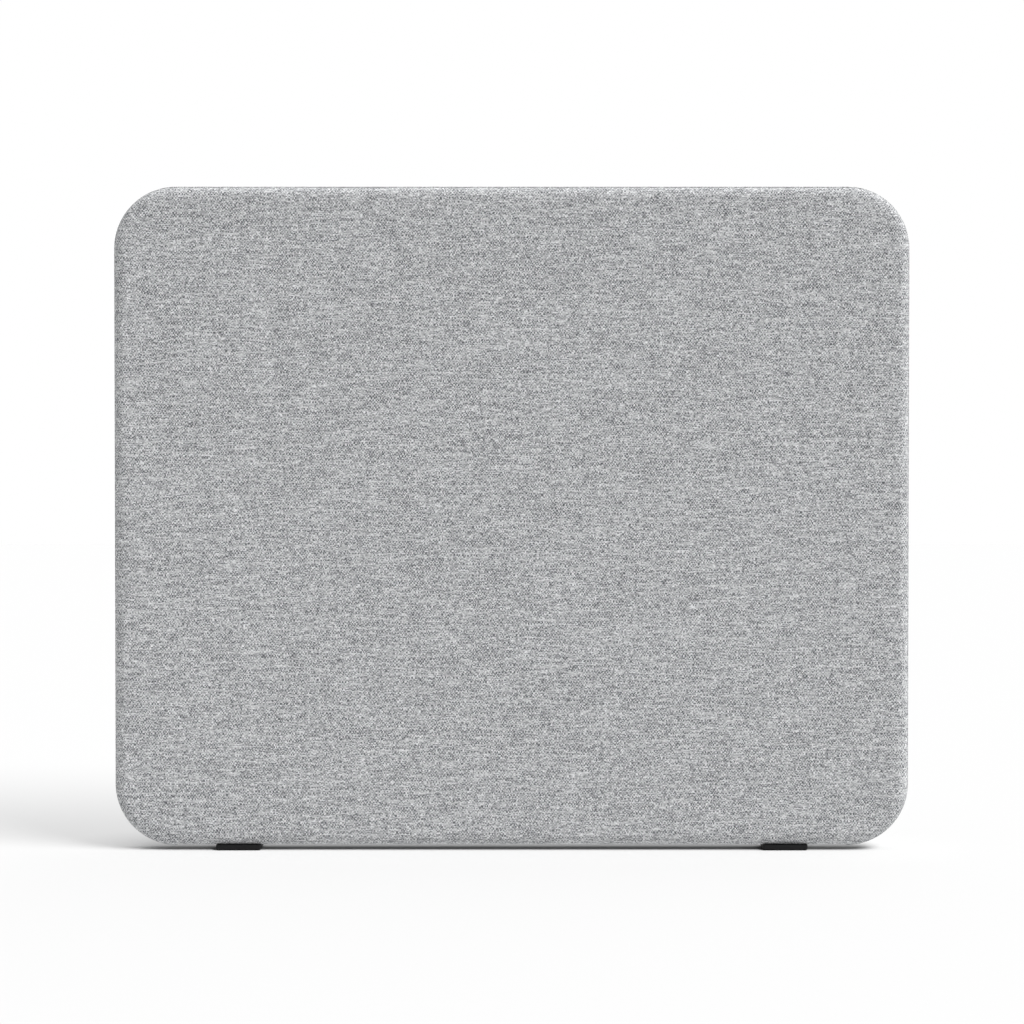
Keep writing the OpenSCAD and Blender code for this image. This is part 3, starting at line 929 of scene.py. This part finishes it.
def makeCord():
    path, length = makeCordPath()
    turns = round(length / cord["turnLength"])
    piece = addShape("circle", "pipingCord", (0, 0, 0), vertices=9, radius=cord["strandRadius"],
                     fill_type="NGON", rotation=(0, rightAngle, 0))
    base, swell = cord["strandSwell"]
    for vertex in piece.data.vertices:
        turn = math.atan2(vertex.co.z, vertex.co.y)
        reach = cord["strandRadius"] + cord["strandOut"] * (base + swell * math.cos(3 * turn))
        vertex.co = Vector((0, math.cos(turn), math.sin(turn))) * reach
    startEdit(piece)
    extrudeBy(cord["turnLength"] / cord["ringsEachTurn"], 0, 0)
    removePicked(piece, "FACE", lambda face: abs(face.normal.x) > 0.5)
    endEdit()
    finishWith(piece, "ARRAY", count=turns * cord["ringsEachTurn"], use_merge_vertices=True,
               merge_threshold=cord["weld"])
    piece.scale = (length / (turns * cord["turnLength"]), 1, 1)
    applyPlace(piece)
    startEdit(piece, "EDGE")
    fillOpenEnds()
    endEdit()
    for vertex in piece.data.vertices:
        turn = vertex.co.x / cord["turnLength"] * 2 * math.pi
        across, up = vertex.co.y, vertex.co.z
        vertex.co.y = across * math.cos(turn) - up * math.sin(turn)
        vertex.co.z = across * math.sin(turn) + up * math.cos(turn)
    finishWith(piece, "CURVE", object=path, deform_axis="POS_X")
    useOnly(path)
    bpy.ops.object.delete()
    finishPiece(piece, 60, cottonCord, "piping_cord")


makeCord()
print("cord made")

# Felts: one pad on each side of the frame, its edge following the cover's roll
felt = dict(
    depthInside=13.0 * mm,
    depthOutside=18.5 * mm,
    rollWide=14.5 * mm,
    rollDeep=8.5 * mm,
    rollSegments=7,
    gridStep=22 * mm,
    unevenness=0.28 * mm,
    patch=35 * mm,
)


def makeFelt(name, node):
    fromAngle = angleAtDepth(felt["rollDeep"], felt["depthInside"])
    profile = arcProfile(felt["rollWide"], felt["rollDeep"], fromAngle, rightAngle, felt["rollSegments"])
    piece = makeRoundedPanel(name, profile, True)
    startEdit(piece)
    cutGrid(felt["gridStep"])
    endEdit()
    thick = felt["depthOutside"] - felt["depthInside"]
    for vertex in piece.data.vertices:
        share = (-vertex.co.y - felt["depthInside"]) / thick
        wave = waveAt(vertex.co / felt["patch"] + Vector((3, 1, 4)))
        vertex.co.y += share * wave * felt["unevenness"]
    if node == "rear_felt":
        turnRound(piece)
    finishPiece(piece, 35, feltGrey, node)


makeFelt("feltFront", "front_felt")
makeFelt("feltRear", "rear_felt")
print("felts made")

# Batts: dense fibre pads that fill the bays on both sides of the centre boards
batt = dict(
    cornerRadius=39.2 * mm,
    cornerSegments=10,
    edgeRounding=2.4 * mm,
    gridStep=24 * mm,
    unevenness=0.5 * mm,
    patch=28 * mm,
    rippleRate=3.1,
    rippleShare=0.3,
    seedStep=90,             # turns a pad's place into another part of the noise
)


def makeBatt(name, node):
    low, high, middle = boxOf(node)
    outside = 1 if middle.x > 0 else -1
    piece = addPlane(name, (middle.x, high.y, middle.z), high.x - low.x, high.z - low.z)
    startEdit(piece, "VERT")
    selectNone()
    work = bmesh.from_edit_mesh(piece.data)
    for vertex in work.verts:
        vertex.select = (vertex.co.x - middle.x) * outside > 0
    work.select_flush(True)
    bmesh.update_edit_mesh(piece.data)
    roundCorners(batt["cornerRadius"], batt["cornerSegments"])
    selectAll("FACE")
    extrudeBy(0, low.y - high.y, 0)
    faceOutwards()
    pick(piece, "EDGE", lambda edge: abs(edgeRun(edge).y) < 0.5)
    bpy.ops.mesh.bevel(offset=batt["edgeRounding"], segments=3, affect="EDGES")
    cutGrid(batt["gridStep"], low, high)
    endEdit()
    seed = Vector((outside, 7, low.y * batt["seedStep"]))
    ripple = batt["rippleShare"]
    for vertex in piece.data.vertices:
        place = vertex.co / batt["patch"]
        dip = (1 - ripple) * waveAt(place + seed) + ripple * waveAt(place * batt["rippleRate"])
        vertex.co.y += math.copysign(dip * batt["unevenness"], middle.y - vertex.co.y)
    finishPiece(piece, 40, battGrey, node)


makeBatt("battFrontLeft", "batt_front_left")
makeBatt("battFrontRight", "batt_front_right")
makeBatt("battRearLeft", "batt_rear_left")
makeBatt("battRearRight", "batt_rear_right")
print("batts made")

# Cutters for what passes through the cover and the wadding at the bottom
opening = dict(
    bossLength=40.6 * mm,
    bossWidth=14.6 * mm,
    bossPlace=412 * mm,
    endSegments=8,
    tapeSpace=(758 * mm, 20.6 * mm),
    height=18 * mm,
)


def makeCutter(x, length, width, roundEnds):
    cutter = addShape("cube", "cutter", (x, 0, panelLow.z), (length, width, opening["height"]), size=1)
    if roundEnds:
        startEdit(cutter)
        pick(cutter, "EDGE", lambda edge: abs(edgeRun(edge).z) > 0.9)
        bpy.ops.mesh.bevel(offset=width / 2 * 0.999, segments=opening["endSegments"], affect="EDGES")
        endEdit()
    return cutter


def cutAway(piece, cutter):
    finishWith(piece, "BOOLEAN", operation="DIFFERENCE", object=cutter, solver="EXACT")


bossCutters = [makeCutter(side * opening["bossPlace"], opening["bossLength"], opening["bossWidth"], True)
               for side in (-1, 1)]
for coverName in ("coverFront", "coverRear"):
    for bossCutter in bossCutters:
        cutAway(bpy.data.objects[coverName], bossCutter)
    smoothBy(bpy.data.objects[coverName], 35)
print("boss holes cut")

# Wadding: a soft strip round the frame's edge, grooved where the piping's flange presses in
wadding = dict(
    outside=1.5 * mm,
    inside=5.5 * mm,
    half=13.0 * mm,
    groove=(4.1 * mm, 0.55 * mm),
    rollSegments=3,
    cornerSegments=14,
    gridStep=14 * mm,
    unevenness=0.3 * mm,
    patch=11 * mm,
    weld=0.01 * mm,
)


def makeWadding():
    endAngle = angleAtDepth(felt["rollDeep"], wadding["half"])
    grooveEnd, grooveHalf = wadding["groove"]
    front = [(grooveEnd, grooveHalf), (wadding["outside"], grooveHalf)]
    front += arcProfile(felt["rollWide"], felt["rollDeep"], 0, endAngle, wadding["rollSegments"])
    front.append((wadding["inside"], wadding["half"]))
    rear = [(inset, -depth) for inset, depth in reversed(front)]
    piece = drawSection("edgeWadding", front + rear, 0)
    carryRound(wadding["cornerSegments"], True)
    removePicked(piece, "FACE", lambda face: len(face.verts) > 4)
    selectAll()
    bpy.ops.mesh.remove_doubles(threshold=wadding["weld"])
    cutGrid(wadding["gridStep"])
    faceOutwards()
    endEdit()
    for vertex in piece.data.vertices:
        place = vertex.co
        out = outlinePlace(place)[1]
        if -out <= wadding["outside"] + mm and abs(place.y) >= grooveHalf * 2:
            wave = waveAt(place / wadding["patch"])
            toMiddle = (Vector((0, place.y, panelMiddle)) - place).normalized()
            vertex.co += toMiddle * wave * wadding["unevenness"]
    tapeCutter = makeCutter(0, *opening["tapeSpace"], False)
    for cutter in bossCutters + [tapeCutter]:
        cutAway(piece, cutter)
        useOnly(cutter)
        bpy.ops.object.delete()
    finishPiece(piece, 45, waddingWhite, "edge_wadding")


makeWadding()
print("wadding made")

# Zip: woven tapes, and the stitches that hold them along both sides of the slot
zipTrim = dict(
    tapeStep=12 * mm,
    tapeCuts=(0.12, 0.2, 0.8, 0.88),
    selvedge=0.22 * mm,
    selvedgeShare=0.34,
    stitchLine=8.6 * mm,     # from the middle of the slot
    stitchPitch=3.6 * mm,
    stitchLength=3.1 * mm,
    stitchDip=1.6,
    threadHalf=0.27 * mm,
    stitchRun=366 * mm,
)


def makeTape(name, node):
    low, high, middle = boxOf(node)
    width = high.y - low.y
    piece = addPlane(name, (middle.x, middle.y, low.z), high.x - low.x, width, 0)
    startEdit(piece)
    for number in range(1, int((high.x - low.x) / zipTrim["tapeStep"])):
        cutAll((low.x + number * zipTrim["tapeStep"], 0, 0), (1, 0, 0))
    for share in zipTrim["tapeCuts"]:
        cutAll((0, low.y + share * width, 0), (0, 1, 0))
    selectAll()
    extrudeBy(0, 0, high.z - low.z)
    faceOutwards()
    endEdit()
    # The middle of the tape is a little thinner than its two selvedges
    for vertex in piece.data.vertices:
        if abs(vertex.co.y - middle.y) / width < zipTrim["selvedgeShare"]:
            vertex.co.z += zipTrim["selvedge"] * (1 if vertex.co.z < middle.z else -1)
    finishPiece(piece, 50, tapeWeave, node)


def repeat(piece, count, step):
    finishWith(piece, "ARRAY", count=count, use_relative_offset=False, use_constant_offset=True,
               constant_offset_displace=step)


def makeStitches():
    line, run, pitch = zipTrim["stitchLine"], zipTrim["stitchRun"], zipTrim["stitchPitch"]
    thread, half = zipTrim["threadHalf"], zipTrim["stitchLength"] / 2
    piece = addShape("uv_sphere", "zipStitches", (-run, -line, panelLow.z), (thread, thread, half),
                     segments=8, ring_count=6, radius=1, rotation=(0, rightAngle, 0))
    # The ends of a stitch dive into the cloth
    for vertex in piece.data.vertices:
        away = abs(vertex.co.x + run) / half
        vertex.co.z += thread * zipTrim["stitchDip"] * away ** 3
    repeat(piece, int(2 * run / pitch) + 1, (pitch, 0, 0))
    repeat(piece, 2, (0, 2 * line, 0))
    finishPiece(piece, 80, sewingThread)


makeTape("zipTapeFront", "zip_tape_front")
makeTape("zipTapeRear", "zip_tape_rear")
makeStitches()
print("zip trim made")


# Rigid pieces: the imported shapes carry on, with their own finishes
heart = dict(
    away=0.6,                # the tree's heart lies this far off, in widths of the board
    awayStep=0.05,
    alongStep=0.31,
    aside=0.021,
    asideStep=0.002,
)


def finishNode(node, material):
    for slot in nodes[node].material_slots:
        slot.material = material


def finishBoard(name, node, rotation):
    low, high, middle = boxOf(node)
    seed = sum(ord(letter) for letter in node) % 17
    away = heart["away"] + heart["awayStep"] * seed
    if rotation == upBoard:
        height = middle.x + (high.x - low.x) * away
    else:
        height = -middle.z - (high.z - low.z) * away
    shift = (seed * heart["alongStep"], heart["aside"] + heart["asideStep"] * seed, height)
    finishNode(node, makeMaterial(name, woodGroup, pineLook, rotation=rotation, shift=shift))


finishBoard("pineTopRail", "top_rail", alongBoard)
finishBoard("pineBottomRail", "bottom_rail", alongBoard)
finishBoard("pineLeftStile", "left_stile", upBoard)
finishBoard("pineRightStile", "right_stile", upBoard)
finishBoard("pineCentreStud", "centre_stud", upBoard)
beech = makeMaterial("beechDowels", woodGroup, beechLook, rotation=alongBoard, shift=(0, 0.03, 0.02))
for finish, finishedNodes in (
        (birchPlywood, ("corner_block_top_left", "corner_block_top_right",
                        "corner_block_bottom_left", "corner_block_bottom_right")),
        (beech, ("frame_dowels",)),
        (hardboardBrown, ("centre_board_left", "centre_board_right")),
        (teethPlastic, ("zip_teeth_front", "zip_teeth_rear", "zip_end_stops")),
        (sliderEnamel, ("zip_slider",)),
        (footPlastic, ("foot_left", "foot_right")),
        (padRubber, ("foot_pad_left", "foot_pad_right")),
        (zincSteel, ("foot_screws",)),
        (turnedBrass, ("foot_inserts",))):
    for finishedNode in finishedNodes:
        finishNode(finishedNode, finish)
print("rigid pieces finished")

# Studio: pale floor, white surround, one soft key from the upper right and a bright overcast sky
studio = dict(
    floorSize=30,
    floorGrey=0.20,
    floorGlow=0.85,          # light that the floor itself gives, as a lit table does
    shadowShare=0.201,       # how much of the light and shade the seen floor keeps
    floorLift=0.596,
    contactGrey=0.55,
    paintedShadeDeepest=0.37,     # how much of that grey is left right under the object, as painted shade
    contactReach=0.13,
    contactRange=(0.5, 0.97),
    skyAround=0.85,
    skyOverhead=1.81,
    keyStrength=3.94,
    keyFrom=(0.588, -0.300, 0.751),
    keyAngle=30,             # degrees across, for soft shadows
    keyAway=5,
)
white = (1, 1, 1, 1)
towardsKey = Vector(studio["keyFrom"]).normalized()


def grey(level):
    return (level, level, level, 1)


def addNode(tree, kind, **values):
    node = tree.nodes.new("ShaderNode" + kind)
    plugAll(node, values)
    return node.outputs[0]


def mixShaders(share, first, second):
    return newNode("MixShader", share, first, second).outputs[0]


def showInstead(tree, lighting, seen, output):
    # What the camera sees, in a reflection and through glass too, beside what lights the object
    path = tree.nodes.new("ShaderNodeLightPath").outputs
    share = calc("MAXIMUM", path["Is Glossy Ray"], path["Is Transmission Ray"])
    share = calc("MAXIMUM", path["Is Camera Ray"], share)
    plug(mixShaders(share, lighting, seen), tree.nodes[output].inputs["Surface"])


def makeFloor():
    floor = addPlane("studioFloor", (0, 0, 0), studio["floorSize"], studio["floorSize"], 0)
    material, tree, shader = newMaterial("studioFloorPaint", {
        "Roughness": 1.0, "Specular IOR Level": 0.0, "Base Color": grey(studio["floorGrey"]),
        "Emission Color": white, "Emission Strength": studio["floorGlow"]})
    # Seen by the camera or in a reflection, the paint is lifted towards white and keeps a softer shadow,
    # mostly the key's, but close under the object it keeps the whole of it, and right under the object
    # its grey is darkened by the occlusion as painted shade
    lean = addNode(tree, "CombineXYZ", X=towardsKey.x, Y=towardsKey.y, Z=towardsKey.z)
    paint = addNode(tree, "BsdfDiffuse", Color=grey(studio["shadowShare"]), Normal=lean)
    glow = addNode(tree, "Emission", Color=white, Strength=studio["floorLift"])
    lifted = newNode("AddShader", paint, glow).outputs[0]
    around = tree.nodes.new("ShaderNodeAmbientOcclusion")
    around.samples = 8
    around.inputs["Distance"].default_value = studio["contactReach"]
    openness = around.outputs["AO"]
    closed, clear = studio["contactRange"]
    deepestPaintedShade = studio["contactGrey"] * studio["paintedShadeDeepest"]
    # Right under the object the grey is darkened by the occlusion: painted shade
    level = spread(openness, 0.0, closed, deepestPaintedShade, studio["contactGrey"])
    contact = addNode(tree, "BsdfDiffuse", Color=level, Normal=lean)
    seen = mixShaders(spread(openness, closed, clear), contact, lifted)
    showInstead(tree, shader.outputs[0], seen, "Material Output")
    setMaterial(floor, material)


def makeSky():
    scene.world = bpy.data.worlds.new("studioSky")
    scene.world.use_nodes = True
    tree = scene.world.node_tree
    light = tree.nodes["Background"]
    light.inputs["Color"].default_value = white
    # Brightest overhead, as under a large softbox, and dim in front, where a room lies in the dark
    way = split(coordinates(tree, "Generated"))
    rise = calc("POWER", calc("MAXIMUM", way[2], 0.0), 2.0)
    strength = spread(rise, 0.0, 1.0, studio["skyAround"], studio["skyOverhead"])
    dimming = minus(1.0, calc("MAXIMUM", times(way[1], -1.0), 0.0))
    plug(times(strength, dimming), light.inputs["Strength"])
    seen = addNode(tree, "Background", Color=white, Strength=1.0)
    showInstead(tree, light.outputs[0], seen, "World Output")


def makeKey():
    bpy.ops.object.light_add(type="SUN", location=towardsKey * studio["keyAway"])
    key = bpy.context.object
    key.name = "studioKey"
    key.rotation_euler = towardsKey.to_track_quat("Z", "Y").to_euler()
    key.data.energy = studio["keyStrength"]
    key.data.angle = math.radians(studio["keyAngle"])


makeFloor()
makeSky()
makeKey()
scene.view_settings.view_transform = "Standard"
print("studio made")
